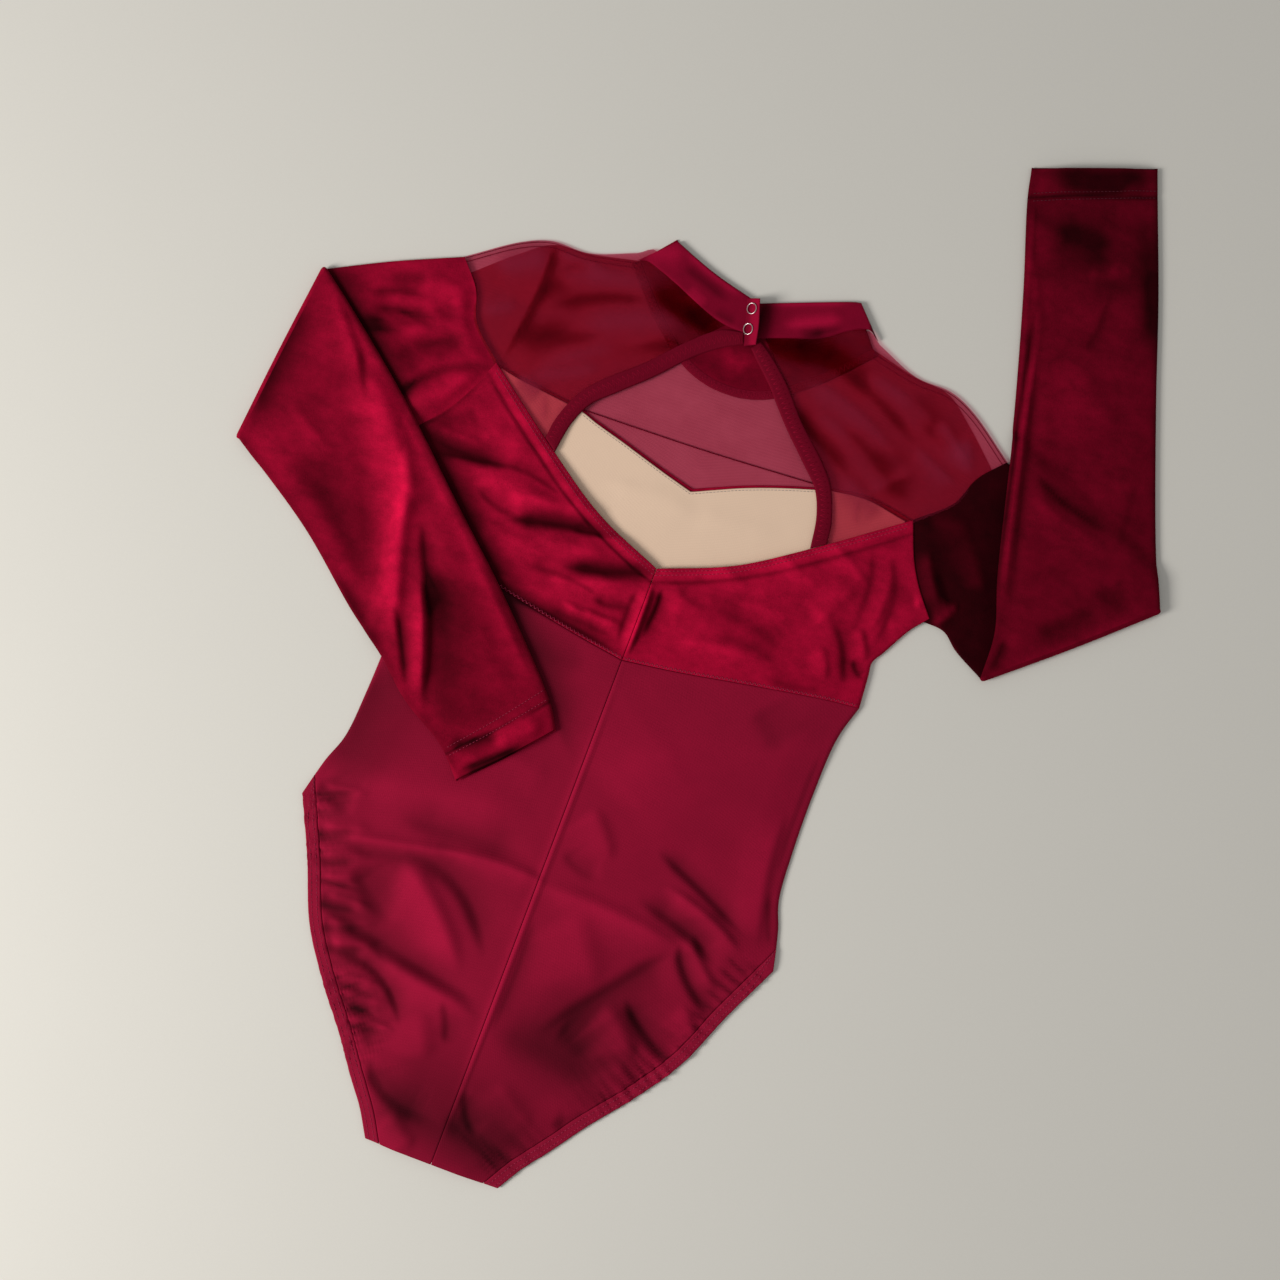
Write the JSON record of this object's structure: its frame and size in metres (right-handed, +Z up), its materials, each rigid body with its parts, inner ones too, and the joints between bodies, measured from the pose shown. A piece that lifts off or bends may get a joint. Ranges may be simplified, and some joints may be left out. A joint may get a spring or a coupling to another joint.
{
  "type": "long-sleeved ballet leotard laid flat",
  "caption": "Long-sleeved velvet and mesh ballet leotard laid flat with its back up: bound keyhole opening, stand collar with ring snaps, high-cut legs, folded sleeves.",
  "frame": {"origin": "on the surface that the leotard lies on, under the middle of its laid-out box", "axes": "+Z up, away from the surface; +Y along the centre-back seam towards the collar; +X to the right with the back up"},
  "size_m": [0.6658, 0.8526, 0.0116],
  "materials": {
    "knit": "matte fine knit, burgundy",
    "velvet": "stretch velvet with a directional nap, crimson",
    "mesh": "sheer fine net, wine red",
    "binding": "matte knit tape, burgundy",
    "lining": "matte cream jersey",
    "collar_velvet": "smooth satin-like velvet, crimson",
    "snap_metal": "bright pressed ring"
  },
  "bodies": {
    "root": {"front_body": "knit", "back_body_left": "knit", "back_body_right": "knit", "leg_band_back_left": "knit", "leg_band_back_right": "knit", "leg_band_front_left": "knit", "leg_band_front_right": "knit", "front_bodice": "velvet", "back_band_left": "velvet", "back_band_right": "velvet", "sleeve_left": "velvet", "sleeve_right": "velvet", "front_lining": "lining", "front_insert": "mesh", "front_yoke": "mesh", "back_yoke_left": "mesh", "back_yoke_right": "mesh", "keyhole_binding_left": "binding", "keyhole_binding_right": "binding", "collar_front": "collar_velvet", "collar_back_left": "collar_velvet", "collar_back_right": "collar_velvet", "closure_tab": "collar_velvet", "snap_ring_top": "snap_metal", "snap_ring_bottom": "snap_metal"}
  },
  "joints": []
}
